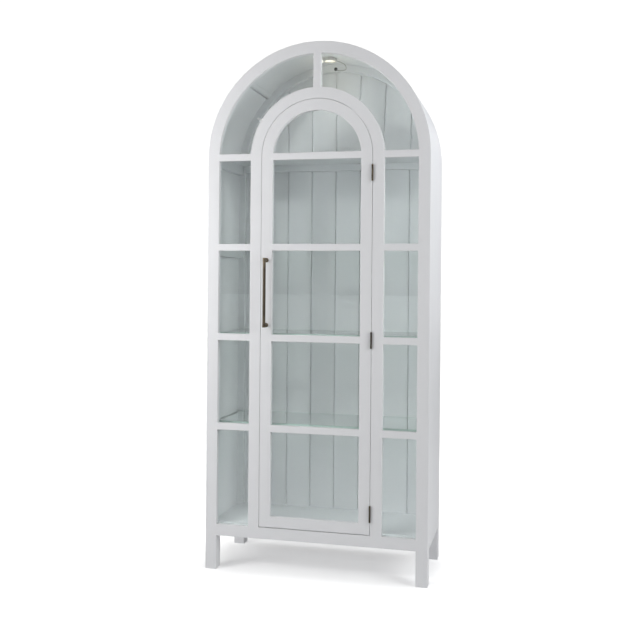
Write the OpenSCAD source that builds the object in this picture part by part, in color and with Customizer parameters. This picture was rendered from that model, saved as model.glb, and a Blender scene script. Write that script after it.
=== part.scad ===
// Arched curio cabinet: white case on four legs, one glazed door, four shelves and a puck light.
// X runs to the right, the front faces -Y, Z is up. The origin is on the floor, at the centre of the box
// that holds the case and the pull.

/* [Case] */
// Overall width of the case
case_w = 914; // [880:2:960]
// Depth of the case without the pull
case_d = 400; // [360:2:440]
// Height of the arches' common centre above the floor
spring_z = 1684; // [1640:4:1760]
// Width and depth of the corner posts
post = 47.5; // [42:0.5:52]
// Clear height under the bottom rails
leg_h = 138; // [100:2:180]
// Height of the bottom rails
rail_h = 47; // [40:1:56]
// Thickness of the front frame and of the door
frame_t = 22; // [20:0.5:26]
// Thickness of the side panels and of the curved ceiling
skin_t = 20; // [16:0.5:22]

/* [Front frame] */
// Width of the doorway
doorway_w = 459.4; // [440:0.2:480]
// Width of the door surround
surround_w = 45.3; // [40:0.1:50]
// Width of the short mullion above the surround
mullion_w = 32; // [26:1:40]
// Height of a glazing bar
bar_h = 28; // [22:1:34]
// Distance from one glazing bar to the next
bar_pitch = 366; // [350:1:370]
// Thickness of a glazing bar, which is also the depth of the glass behind the front
bar_t = 15; // [12:0.5:16]
// Thickness of the window glass
pane_t = 3; // [3:0.5:4]

/* [Door] */
// Gap around the closed door
door_gap = 3; // [2.8:0.2:3.6]
// Width of the door's stiles and arch
stile_w = 45; // [40:0.5:50]
// Height of the door's bottom rail
door_rail_h = 44; // [38:1:60]
// Height of a butt hinge
hinge_h = 63.5; // [50:0.5:76]

/* [Shelves] */
// Thickness of a glass shelf
glass_shelf_t = 10; // [6:1:10]
// Thickness of the fixed wooden shelf
wood_shelf_t = 10; // [8:1:12]
// Height of the cleats that carry the shelves
cleat_h = 42; // [24:1:50]
// Width of the cleats
cleat_w = 20; // [16:1:26]

/* [Back] */
// Distance between the grooves of the back panel
board_w = 108; // [100:1:112]
// Width of a groove
groove_w = 9; // [6:0.5:12]
// Depth of a groove
groove_d = 4; // [2:0.5:5]

/* [Pull] */
// Distance between the pull's two posts
pull_span = 262; // [192:2:288]
// Diameter of the pull's bar
pull_bar_d = 12; // [8:0.5:12]
// How far the pull stands out in front of the door
pull_reach = 36; // [32:0.5:42]

/* [Light] */
// Diameter of the puck light
puck_d = 58; // [50:1:66]
// Distance of the puck light behind the front
puck_back = 215; // [190:1:240]

/* [Hidden] */

paint = "white";
clear = [0.80, 0.90, 0.87, 0.35];
shelf_green = [0.66, 0.84, 0.78, 0.45];
bronze = [0.30, 0.22, 0.15];
zinc = [0.70, 0.71, 0.72];

LEFT = -1;
RIGHT = 1;
JOINT = 0.1;   // glue gap that keeps two curved faces from biting into each other

// Case
half_w = case_w / 2;
front_y = -(case_d - pull_reach) / 2;
post_in = half_w - post;
skin_in = half_w - skin_t;
rail_top = leg_h + rail_h;
rear_y = case_d - post;
arch_steps = 180;

// Floor and back
floor_top = rail_top + 2;
floor_t = 18;
panel_t = 9;
panel_lap = 10;
panel_half = post_in + panel_lap;
trim_t = 24.5;
trim_y = rear_y - trim_t;
trim_rail_h = 27;
groove_stop = 6;
seam_w = 2;
seam_d = 7.5;
pit_r = 5.5;
pit_d = 5;
groove_count = 3;   // on each side of the middle one

// Front frame
doorway = doorway_w / 2;
surround_out = doorway + surround_w;
rabbet = 7;
pane_lap = 6;
bead_t = frame_t - bar_t - pane_t;
bar_levels = [for (i = [0:3]) spring_z - i * bar_pitch];
pane_gap = 1;
back_bar_h = 14;

// Shelves
wood_shelf_z = spring_z + 6.5;
wood_shelf_top = wood_shelf_z + wood_shelf_t;
glass_shelf_over_bar = 16;
glass_shelf_z = [for (i = [1:3]) bar_levels[i] + glass_shelf_over_bar - glass_shelf_t];
shelf_front = post + 2.5;
shelf_side_gap = 2;
wood_shelf_front = frame_t + 1;

// Ceiling
batten_w = 20;
batten_t = 5;
ceiling_split = 45;

// Door
door_half = doorway - door_gap;
door_z = rail_top + door_gap;
sight_half = door_half - stile_w;
sight_z = door_z + door_rail_h;

// Hinges, with x and y measured from the hinge pin
hinge_x = doorway - door_gap / 2;
hinge_proud = 4;
hinge_y = front_y - hinge_proud;
barrel_r = 3.5;
pin_r = 1.6;
running_gap = 0.05;
leaf_gap = 0.1;
leaf_t = door_gap / 2 - leaf_gap;
leaf_reach = 18;
knuckles = 5;
knuckle_gap = 0.2;
pin_head_r = 2.7;
pin_head_h = 1.6;
hinge_levels = [door_z + 82, bar_levels[2], spring_z - 73];
screw_r = 1.5;
screw_head_r = 2.9;
screw_l = 14;
screw_tip = 3;
screw_rise = 20;
screw_back = 13;

// Magnetic catch, under the fixed shelf
catch_x = -(sight_half + door_half) / 2;
catch_w = 40;
catch_h = 12;
catch_d = 14;
strike_w = 32;
strike_t = 1.2;
catch_clear = 0.5;

// Pull
pull_x = catch_x;
pull_z = spring_z - 1.5 * bar_pitch;
collar_r = 6.5;
collar_h = 17;
pull_bar_y = pull_reach - collar_r;
pull_post_r = 4.5;
rosette_r = 9;
rosette_t = 3;
rosette_cone = 4;
pull_screw_r = 2;
pull_screw_head_r = 4;
pull_screw_head_h = 2.4;
pull_screw_grip = 12;

// Light, its lead and the hole that the lead leaves by
puck_h = 12;
puck_r = puck_d / 2;
puck_top = spring_z + sqrt(pow(skin_in, 2) - pow(puck_r, 2)) - JOINT;
puck_z = puck_top - puck_h;
puck_y = front_y + puck_back;
lens_r = 22;
lens_t = 3;
lens_inset = 1;
bulb_r = 20;
bulb_h = 5;
lead_d = 2.5;
lead_sides = 8;
outlet_r = 6;
outlet_slack = 2;
outlet_z = spring_z + skin_in - 18;
grommet_r = 7;
grommet_body_r = 5;
grommet_t = 2;

// Route of the lead in the part's own frame, from the puck's side to inside the grommet
LEAD = [
    [20, 54, 2114], [24, 58, 2114], [29, 63, 2113.5], [34, 68, 2112.5], [39, 73, 2111],
    [44, 79, 2109], [48, 85, 2106.5], [51, 91, 2104], [53, 97, 2101.5], [54, 103, 2099],
    [54, 109, 2097], [52, 115, 2095], [49, 121, 2093.5], [45, 126, 2092.5], [40, 130, 2092],
    [34, 133, 2092], [28, 134, 2092.5], [22, 134, 2093], [16, 134, 2094], [11, 135, 2095.5],
    [6, 137, 2097.5], [3, 140, 2099.5], [1, 143, 2101.5], [0, 147, 2103], [0, 152, 2103], [0, 157, 2103]
];

// ---------- helpers ----------

// Extrudes an outline drawn in X and Z from depth y0 to depth y1 behind the front face
module slab(y0, y1) {
    translate([0, front_y + y1, 0])
        rotate([90, 0, 0])
            linear_extrude(y1 - y0)
                children();
}

// Box from low to high corner, with Y counted from the front face
module block(low, high) {
    translate([low[0], front_y + low[1], low[2]])
        cube(high - low);
}

module on_side(side) {
    mirror([side == LEFT ? 1 : 0, 0, 0])
        children();
}

// Upper half of a ring about the arches' centre, as an outline
module half_ring(r_in, r_out) {
    translate([0, spring_z])
        intersection() {
            difference() {
                circle(r_out, $fn = arch_steps);
                circle(r_in, $fn = arch_steps);
            }
            translate([-r_out, 0])
                square([2 * r_out, r_out]);
        }
}

// Upright outline with a round top: half width, bottom edge
module arched_outline(half, bottom) {
    translate([-half, bottom])
        square([2 * half, spring_z - bottom]);
    translate([0, spring_z])
        circle(half, $fn = arch_steps);
}

// Sight opening of the right side light, grown by some amount on every edge
module light_outline(grow) {
    translate([surround_out - grow, rail_top - grow])
        square([post_in - surround_out + 2 * grow, spring_z - rail_top + grow]);
    translate([0, spring_z])
        intersection() {
            difference() {
                circle(post_in + grow, $fn = arch_steps);
                circle(surround_out - grow, $fn = arch_steps);
            }
            translate([mullion_w / 2 - grow, 0])
                square([half_w, half_w]);
        }
}

module band(z0, z1) {
    translate([-half_w, z0])
        square([2 * half_w, z1 - z0]);
}

module bar_bands() {
    for (z = bar_levels)
        band(z - bar_h / 2, z + bar_h / 2);
}

// Step for the glass in both side lights, cut from the glass line back
module light_rabbets(depth) {
    for (side = [LEFT, RIGHT])
        on_side(side)
            slab(bar_t, depth + 1)
                light_outline(rabbet);
}

module door_rabbet() {
    slab(bar_t, frame_t + 1)
        arched_outline(sight_half + rabbet, sight_z - rabbet);
}

// ---------- case frame ----------

module front_post(side) {
    color(paint)
        difference() {
            on_side(side)
                block([post_in, 0, 0], [half_w, post, spring_z]);
            light_rabbets(post);
        }
}

module rear_post(side) {
    color(paint)
        on_side(side)
            difference() {
                block([post_in, rear_y, 0], [half_w, case_d, spring_z]);
                block([post_in - 1, rear_y - 1, floor_top], [panel_half, rear_y + panel_t, spring_z + 1]);
            }
}

module front_arch() {
    color(paint)
        difference() {
            slab(0, post)
                half_ring(post_in, half_w);
            light_rabbets(post);
        }
}

module rear_arch() {
    color(paint)
        difference() {
            slab(rear_y, case_d)
                half_ring(post_in, half_w);
            slab(rear_y - 1, rear_y + panel_t)
                arched_outline(panel_half, floor_top);
            lead_hole(outlet_r, case_d + 1);
            lead_hole(outlet_r + outlet_slack, rear_y + panel_t);
        }
}

module top_mullion() {
    color(paint)
        difference() {
            slab(0, frame_t)
                intersection() {
                    half_ring(surround_out + JOINT, post_in - JOINT);
                    translate([-mullion_w / 2, spring_z])
                        square([mullion_w, half_w]);
                }
            light_rabbets(frame_t);
        }
}

module surround_stile(side) {
    color(paint)
        difference() {
            on_side(side)
                block([doorway, 0, rail_top], [surround_out, frame_t, spring_z]);
            light_rabbets(frame_t);
        }
}

module surround_arch() {
    color(paint)
        difference() {
            slab(0, frame_t)
                half_ring(doorway, surround_out);
            light_rabbets(frame_t);
        }
}

module front_bottom_rail() {
    color(paint)
        difference() {
            block([-post_in, 0, leg_h], [post_in, frame_t, rail_top]);
            light_rabbets(frame_t);
        }
}

module rear_bottom_rail() {
    color(paint)
        block([-post_in, case_d - frame_t, leg_h], [post_in, case_d, rail_top]);
}

module side_bottom_rail(side) {
    color(paint)
        on_side(side)
            block([skin_in, post, leg_h], [half_w, rear_y, rail_top]);
}

module light_bars(side) {
    color(paint)
        on_side(side)
            slab(0, bar_t)
                intersection() {
                    light_outline(-JOINT);
                    bar_bands();
                }
}

module side_panel(side) {
    color(paint)
        on_side(side)
            block([skin_in, post, rail_top], [half_w, rear_y, spring_z]);
}

// ---------- curved ceiling ----------

// One piece of the ceiling between two angles, less than a half turn apart
module ceiling_piece(a0, a1) {
    far = 2 * half_w;
    middle = (a0 + a1) / 2;
    color(paint)
        slab(post, rear_y)
            intersection() {
                half_ring(skin_in, half_w);
                translate([0, spring_z])
                    polygon([
                        [0, 0],
                        [far * cos(a0), far * sin(a0)],
                        [far * cos(middle), far * sin(middle)],
                        [far * cos(a1), far * sin(a1)]
                    ]);
            }
}

module ceiling_battens() {
    color(paint)
        slab(post, trim_y)
            for (side = [LEFT, RIGHT])
                intersection() {
                    half_ring(skin_in - batten_t, skin_in - JOINT);
                    translate([0, spring_z])
                        rotate(90 - side * ceiling_split)
                            translate([0, side == LEFT ? -batten_w : 0])
                                square([half_w, batten_w]);
                }
}

// ---------- floor, back and shelves ----------

module floor_panel() {
    color(paint)
        difference() {
            block([-skin_in, frame_t, floor_top - floor_t], [skin_in, case_d - frame_t, floor_top]);
            for (side = [LEFT, RIGHT])
                on_side(side) {
                    block([post_in, 0, leg_h], [half_w, post, spring_z]);
                    block([post_in, rear_y, leg_h], [half_w, case_d, spring_z]);
                }
        }
}

// Cutter for one groove, with the boards' open seam at its bottom and a round pit at each end
module groove(x, z0, z1) {
    lead_in = 1;
    mouth = groove_w / 2 * (groove_d + lead_in) / groove_d;
    translate([x, front_y + rear_y - lead_in, 0]) {
        translate([0, 0, z0])
            linear_extrude(z1 - z0) {
                polygon([[-mouth, 0], [mouth, 0], [0, groove_d + lead_in]]);
                translate([-seam_w / 2, 0])
                    square([seam_w, seam_d + lead_in]);
            }
        for (z = [z0, z1])
            translate([0, 0, z])
                rotate([-90, 0, 0])
                    cylinder(h = pit_d + lead_in, r1 = pit_r * (pit_d + lead_in) / pit_d, r2 = 0, $fn = 24);
    }
}

module lower_back_panel() {
    color(paint)
        difference() {
            block([-panel_half, rear_y, floor_top], [panel_half, rear_y + panel_t, wood_shelf_z]);
            for (i = [-groove_count:groove_count])
                groove(i * board_w, floor_top + groove_stop, wood_shelf_z - trim_rail_h);
        }
}

module upper_back_panel() {
    r_stop = post_in - groove_stop;
    color(paint)
        difference() {
            slab(rear_y, rear_y + panel_t)
                intersection() {
                    arched_outline(panel_half - JOINT, floor_top);
                    band(wood_shelf_top, spring_z + half_w);
                }
            for (i = [-groove_count:groove_count])
                groove(i * board_w, wood_shelf_top + groove_stop,
                       spring_z + sqrt(pow(r_stop, 2) - pow(i * board_w, 2)));
            lead_hole(outlet_r + outlet_slack, case_d);
        }
}

module rear_trims() {
    color(paint)
        for (side = [LEFT, RIGHT])
            on_side(side)
                block([post_in, trim_y, floor_top], [skin_in, rear_y, spring_z]);
}

// Rail between the trims, under the fixed shelf
module rear_trim_rail() {
    color(paint)
        block([-post_in + JOINT, trim_y, wood_shelf_z - trim_rail_h], [post_in - JOINT, rear_y, wood_shelf_z]);
}

module rear_trim_arch() {
    color(paint)
        difference() {
            slab(trim_y, rear_y)
                half_ring(post_in, skin_in - JOINT);
            lead_hole(grommet_body_r, case_d);
        }
}

module fixed_shelf() {
    slack = 1;
    color(paint)
        difference() {
            block([-skin_in + slack, wood_shelf_front, wood_shelf_z],
                  [skin_in - slack, rear_y + panel_t, wood_shelf_top]);
            for (side = [LEFT, RIGHT])
                on_side(side) {
                    block([post_in - slack, 0, 0], [half_w, post, spring_z + half_w]);
                    block([post_in - slack, trim_y, 0], [half_w, case_d, spring_z + half_w]);
                }
        }
}

module glass_shelf(z) {
    color(shelf_green)
        difference() {
            block([-skin_in + shelf_side_gap, shelf_front, z],
                  [skin_in - shelf_side_gap, rear_y - shelf_side_gap, z + glass_shelf_t]);
            for (side = [LEFT, RIGHT])
                on_side(side)
                    block([post_in - shelf_side_gap, trim_y - shelf_side_gap, 0], [half_w, case_d, spring_z]);
        }
}

module shelf_cleats(side) {
    color(paint)
        on_side(side)
            for (z = concat([wood_shelf_z], glass_shelf_z))
                block([skin_in - cleat_w, post, z - cleat_h],
                      [z > spring_z ? skin_in - JOINT : skin_in, trim_y, z]);
}

// ---------- window glass ----------

module light_glass(side) {
    color(clear)
        on_side(side)
            slab(bar_t, bar_t + pane_t)
                intersection() {
                    light_outline(pane_lap);
                    band(0, spring_z - pane_gap);
                }
}

module arch_glass(side) {
    color(clear)
        on_side(side)
            slab(bar_t, bar_t + pane_t)
                intersection() {
                    light_outline(pane_lap);
                    band(spring_z + pane_gap, spring_z + half_w);
                }
}

// The beads that hold the side lights' glass, with a cross strip behind the top bar
module light_glass_beads() {
    color(paint)
        for (side = [LEFT, RIGHT])
            on_side(side)
                slab(bar_t + pane_t, frame_t)
                    intersection() {
                        light_outline(rabbet - JOINT);
                        union() {
                            difference() {
                                light_outline(rabbet);
                                light_outline(0);
                            }
                            band(spring_z - back_bar_h / 2, spring_z + back_bar_h / 2);
                        }
                    }
}

// ---------- light ----------

// Hole for the lead from the front of the rear trim to depth y1
module lead_hole(r, y1) {
    translate([0, front_y + trim_y - 1, outlet_z])
        rotate([-90, 0, 0])
            cylinder(h = y1 - trim_y + 1, r = r, $fn = 32);
}

module light_housing() {
    color(paint)
        translate([0, puck_y, puck_z])
            difference() {
                cylinder(h = puck_h, r = puck_r, $fn = 64);
                translate([0, 0, -1])
                    cylinder(h = 1 + lens_inset + lens_t, r = lens_r, $fn = 64);
                translate([0, 0, lens_inset])
                    cylinder(h = lens_t + bulb_h, r = bulb_r, $fn = 64);
            }
}

module light_lens() {
    color([1, 0.88, 0.66])
        translate([0, puck_y, puck_z + lens_inset])
            cylinder(h = lens_t, r = lens_r - JOINT, $fn = 64);
}

function unit(v) = v / norm(v);
function direction(i) = unit(LEAD[min(i + 1, len(LEAD) - 1)] - LEAD[max(i - 1, 0)]);
function ring(i) =
    let (along = direction(i), across = unit(cross([0, 0, 1], along)), up = cross(along, across))
    [for (k = [0:lead_sides - 1])
        let (turn = 360 * k / lead_sides)
        LEAD[i] + lead_d / 2 * (cos(turn) * across + sin(turn) * up)];

module light_lead() {
    last = len(LEAD) - 1;
    n = lead_sides;
    color([0.85, 0.85, 0.82])
        polyhedron(
            points = [for (i = [0:last]) each ring(i)],
            faces = concat(
                [[for (k = [0:n - 1]) k]],
                [[for (k = [n - 1:-1:0]) last * n + k]],
                [for (i = [0:last - 1], k = [0:n - 1])
                    [i * n + (k + 1) % n, i * n + k, (i + 1) * n + k, (i + 1) * n + (k + 1) % n]]
            )
        );
}

module lead_grommet() {
    color([0.06, 0.06, 0.06])
        translate([0, front_y + trim_y, outlet_z])
            rotate([-90, 0, 0])
                difference() {
                    union() {
                        translate([0, 0, -grommet_t])
                            cylinder(h = grommet_t, r = grommet_r, $fn = 32);
                        translate([0, 0, -grommet_t])
                            cylinder(h = trim_t + grommet_t, r = grommet_body_r - JOINT, $fn = 32);
                    }
                    translate([0, 0, -grommet_t - 1])
                        cylinder(h = trim_t + grommet_t + 2, r = lead_d / 2, $fn = 16);
                }
}

// ---------- door ----------

module door_stile(side) {
    color(paint)
        difference() {
            on_side(side)
                block([sight_half, 0, door_z], [door_half, frame_t, spring_z]);
            door_rabbet();
            if (side == LEFT)
                pull_holes();
        }
}

module door_arch() {
    color(paint)
        difference() {
            slab(0, frame_t)
                half_ring(sight_half, door_half);
            door_rabbet();
        }
}

module door_bottom_rail() {
    color(paint)
        difference() {
            block([-sight_half, 0, door_z], [sight_half, frame_t, sight_z]);
            door_rabbet();
        }
}

module door_bars() {
    color(paint)
        slab(0, bar_t)
            intersection() {
                arched_outline(sight_half - JOINT, sight_z);
                bar_bands();
            }
}

module door_glass() {
    color(clear)
        slab(bar_t, bar_t + pane_t)
            arched_outline(sight_half + pane_lap, sight_z - pane_lap);
}

module door_glass_bead() {
    color(paint)
        slab(bar_t + pane_t, frame_t)
            difference() {
                arched_outline(sight_half + rabbet - JOINT, sight_z - rabbet + JOINT);
                arched_outline(sight_half, sight_z);
            }
}

// ---------- hinges ----------

module at_hinges() {
    for (z = hinge_levels)
        translate([hinge_x, hinge_y, z])
            children();
}

// Heights at which a leaf has its own knuckles
function knuckle_z(k) = -hinge_h / 2 + k * hinge_h / knuckles + knuckle_gap;
knuckle_h = hinge_h / knuckles - 2 * knuckle_gap;

// Leaf on the +X side of the pin, with the knuckles from the given one, every second one
module leaf(first, bore_r) {
    difference() {
        union() {
            translate([leaf_gap, hinge_proud, -hinge_h / 2])
                cube([leaf_t, leaf_reach, hinge_h]);
            for (k = [first:2:knuckles - 1])
                translate([0, 0, knuckle_z(k)]) {
                    cylinder(h = knuckle_h, r = barrel_r, $fn = 32);
                    translate([leaf_gap, 0, 0])
                        cube([leaf_t, hinge_proud, knuckle_h]);
                }
        }
        translate([0, 0, -hinge_h / 2 - 1])
            cylinder(h = hinge_h + 2, r = bore_r, $fn = 32);
        hinge_screw_row()
            screw_head(1);
    }
}

module hinge_screw_row() {
    for (z = [-screw_rise, 0, screw_rise])
        translate([leaf_gap, screw_back, z])
            rotate([0, 90, 0])
                children();
}

// Countersunk head along +Z, with its flat face at zero and an optional lead-in above it
module screw_head(lead_in) {
    cylinder(h = leaf_t, r1 = screw_head_r, r2 = screw_r, $fn = 24);
    if (lead_in > 0) {
        translate([0, 0, -lead_in])
            cylinder(h = lead_in, r = screw_head_r, $fn = 24);
        cylinder(h = leaf_t + lead_in, r = screw_r, $fn = 24);
    }
}

module wood_screw() {
    screw_head(0);
    translate([0, 0, leaf_t])
        cylinder(h = screw_l, r = screw_r, $fn = 24);
    translate([0, 0, leaf_t + screw_l])
        cylinder(h = screw_tip, r1 = screw_r, r2 = 0.3, $fn = 24);
}

module hinge_frame_leaves() {
    color(bronze)
        at_hinges()
            leaf(0, pin_r);
}

module hinge_door_leaves() {
    color(bronze)
        at_hinges()
            mirror([1, 0, 0])
                leaf(1, pin_r + running_gap);
}

module hinge_pins() {
    color(bronze)
        at_hinges() {
            translate([0, 0, -hinge_h / 2])
                cylinder(h = hinge_h, r = pin_r, $fn = 32);
            translate([0, 0, hinge_h / 2])
                cylinder(h = pin_head_h, r = pin_head_r, $fn = 32);
            translate([0, 0, -hinge_h / 2 - pin_head_h])
                cylinder(h = pin_head_h, r = pin_head_r, $fn = 32);
        }
}

module hinge_frame_screws() {
    color(bronze)
        at_hinges()
            hinge_screw_row()
                wood_screw();
}

module hinge_door_screws() {
    color(bronze)
        at_hinges()
            mirror([1, 0, 0])
                hinge_screw_row()
                    wood_screw();
}

// ---------- pull and catch ----------

// Puts its children at both ends of the pull, with +Z pointing out of the door
module at_pull_ends() {
    for (end = [-1, 1])
        translate([pull_x, front_y, pull_z + end * pull_span / 2])
            rotate([90, 0, 0])
                children();
}

module pull_holes() {
    at_pull_ends()
        translate([0, 0, -frame_t - 1])
            cylinder(h = frame_t + 2, r = pull_screw_r, $fn = 24);
}

module collars(r) {
    for (end = [-1, 1])
        translate([pull_x, front_y - pull_bar_y, pull_z + end * pull_span / 2 - collar_h / 2])
            cylinder(h = collar_h, r = r, $fn = 48);
}

module pull_bar() {
    color(bronze) {
        translate([pull_x, front_y - pull_bar_y, pull_z - pull_span / 2])
            cylinder(h = pull_span, r = pull_bar_d / 2, $fn = 48);
        collars(collar_r);
    }
}

module pull_posts() {
    color(bronze)
        difference() {
            at_pull_ends() {
                cylinder(h = rosette_t, r = rosette_r, $fn = 48);
                translate([0, 0, rosette_t])
                    cylinder(h = rosette_cone, r1 = rosette_r - 2, r2 = pull_post_r, $fn = 48);
                cylinder(h = pull_bar_y, r = pull_post_r, $fn = 48);
            }
            collars(collar_r + JOINT);
            at_pull_ends()
                translate([0, 0, -1])
                    cylinder(h = pull_screw_grip + 1, r = pull_screw_r, $fn = 24);
        }
}

module pull_screws() {
    color(zinc)
        at_pull_ends() {
            translate([0, 0, -frame_t])
                cylinder(h = frame_t + pull_screw_grip - 1, r = pull_screw_r, $fn = 24);
            translate([0, 0, -frame_t - pull_screw_head_h])
                cylinder(h = pull_screw_head_h, r = pull_screw_head_r, $fn = 24);
        }
}

module catch_body() {
    front = frame_t + strike_t + catch_clear;
    color(paint)
        block([catch_x - catch_w / 2, front, wood_shelf_z - catch_h],
              [catch_x + catch_w / 2, front + catch_d, wood_shelf_z]);
}

module catch_strike() {
    color(zinc)
        block([catch_x - strike_w / 2, frame_t, wood_shelf_z - catch_h + 1],
              [catch_x + strike_w / 2, frame_t + strike_t, wood_shelf_z - 1]);
}

// ---------- placement ----------

front_post(LEFT);  // front_left_post
front_post(RIGHT);  // front_right_post
rear_post(LEFT);  // rear_left_post
rear_post(RIGHT);  // rear_right_post
front_arch();
rear_arch();
top_mullion();
surround_stile(LEFT);  // surround_left
surround_stile(RIGHT);  // surround_right
surround_arch();
front_bottom_rail();
rear_bottom_rail();
side_bottom_rail(LEFT);  // left_bottom_rail
side_bottom_rail(RIGHT);  // right_bottom_rail
light_bars(LEFT);  // left_light_bars
light_bars(RIGHT);  // right_light_bars
side_panel(LEFT);  // left_side_panel
side_panel(RIGHT);  // right_side_panel
ceiling_piece(90 + ceiling_split, 180);  // ceiling_left
ceiling_piece(90 - ceiling_split, 90 + ceiling_split);  // ceiling_centre
ceiling_piece(0, 90 - ceiling_split);  // ceiling_right
ceiling_battens();
floor_panel();
lower_back_panel();
upper_back_panel();
rear_trims();
rear_trim_rail();
rear_trim_arch();
fixed_shelf();
glass_shelf(glass_shelf_z[0]);  // upper_glass_shelf
glass_shelf(glass_shelf_z[1]);  // middle_glass_shelf
glass_shelf(glass_shelf_z[2]);  // lower_glass_shelf
shelf_cleats(LEFT);  // left_shelf_cleats
shelf_cleats(RIGHT);  // right_shelf_cleats
light_glass(LEFT);  // left_light_glass
light_glass(RIGHT);  // right_light_glass
arch_glass(LEFT);  // left_arch_glass
arch_glass(RIGHT);  // right_arch_glass
light_glass_beads();
light_housing();
light_lens();
light_lead();
lead_grommet();
catch_body();
hinge_frame_leaves();
hinge_pins();
hinge_frame_screws();
door_stile(LEFT);  // door_left_stile
door_stile(RIGHT);  // door_right_stile
door_arch();
door_bottom_rail();
door_bars();
door_glass();
door_glass_bead();
hinge_door_leaves();
hinge_door_screws();
pull_bar();
pull_posts();
pull_screws();
catch_strike();
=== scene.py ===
import math

import bmesh
import bpy
from mathutils import Matrix, Vector


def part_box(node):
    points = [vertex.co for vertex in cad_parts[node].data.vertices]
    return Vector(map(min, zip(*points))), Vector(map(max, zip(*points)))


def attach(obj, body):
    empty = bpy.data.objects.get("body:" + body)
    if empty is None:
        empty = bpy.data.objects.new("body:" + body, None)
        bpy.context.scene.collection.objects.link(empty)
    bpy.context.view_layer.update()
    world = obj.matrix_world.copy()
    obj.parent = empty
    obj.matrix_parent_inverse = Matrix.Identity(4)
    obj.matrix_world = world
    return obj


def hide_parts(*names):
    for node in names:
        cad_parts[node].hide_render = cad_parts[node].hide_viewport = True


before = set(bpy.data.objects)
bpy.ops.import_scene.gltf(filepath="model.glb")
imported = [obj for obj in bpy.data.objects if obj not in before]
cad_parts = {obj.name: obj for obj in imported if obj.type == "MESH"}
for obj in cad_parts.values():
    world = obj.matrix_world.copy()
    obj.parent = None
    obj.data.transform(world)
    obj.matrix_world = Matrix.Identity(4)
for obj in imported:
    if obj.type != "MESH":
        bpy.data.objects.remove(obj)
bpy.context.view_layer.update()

# ---------- sizes, all read from the CAD model ----------

post_lo, post_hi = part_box("front_right_post")
rear_lo, rear_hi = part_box("rear_right_post")
rail_lo, rail_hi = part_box("front_bottom_rail")
rear_rail_lo, rear_rail_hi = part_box("rear_bottom_rail")
side_rail_lo, side_rail_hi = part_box("right_bottom_rail")
surround_lo, surround_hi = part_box("surround_right")
bars_lo, bars_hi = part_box("right_light_bars")
stile_lo, stile_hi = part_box("door_right_stile")
door_rail_lo, door_rail_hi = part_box("door_bottom_rail")
trim_lo, trim_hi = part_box("rear_trims")
trim_rail_lo, trim_rail_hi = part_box("rear_trim_rail")
mullion_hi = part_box("top_mullion")[1]
back_lo, back_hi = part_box("lower_back_panel")

SPRING = post_hi.z
FRONT = post_lo.y
GLASS_Y = bars_hi.y
FRAME_BACK = rail_hi.y
BAR_HALF = bars_hi.z - SPRING
PITCH = (SPRING - BAR_HALF - bars_lo.z) / 3
LEVELS = [SPRING - i * PITCH for i in range(4)]
SKIN_IN = side_rail_lo.x
RABBET = 0.007
PANEL_LAP = back_hi.x - post_lo.x
PANEL_T = back_hi.y - back_lo.y

EASE = 0.002     # radius of the eased edges
GAP_EASE = 0.0008   # the same on the edges next to the door's gap
GAP_LIP = 0.0007    # how far the edges beside the door's gap stand into it, so that it shows narrower
SEAM_W, SEAM_D = 0.008, 0.008  # open seam at the ends of the ceiling's side parts
ARC = 3          # facets on an eased edge
FOOT = 0.0015    # chamfer round the foot of a post
STEP = 1e-6      # half the thickness of a sudden step in a member
MERGE = 5e-6     # points nearer than this become one

# ---------- camera ----------

CAMERA_AT = Vector((0.8601, -3.5406, 1.1917))
YAW, ROLL = 0.2348, 0.0085
LENS, SHIFT_X, SHIFT_Y = 50.51, -0.03097, -0.0499


def make_camera():
    data = bpy.data.cameras.new("camera")
    data.sensor_width = 36.0
    data.lens, data.shift_x, data.shift_y = LENS, SHIFT_X, SHIFT_Y
    data.clip_start, data.clip_end = 0.05, 200.0
    cam = bpy.data.objects.new("camera", data)
    ahead = Vector((-math.sin(YAW), math.cos(YAW), 0))
    right = Vector((math.cos(YAW), math.sin(YAW), 0))
    up = right.cross(ahead)
    across = right * math.cos(ROLL) + up * math.sin(ROLL)
    over = up * math.cos(ROLL) - right * math.sin(ROLL)
    turn = Matrix((across, over, -ahead)).transposed().to_4x4()
    cam.matrix_world = Matrix.Translation(CAMERA_AT) @ turn
    bpy.context.scene.collection.objects.link(cam)
    bpy.context.scene.camera = cam


# ---------- materials ----------

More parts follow.
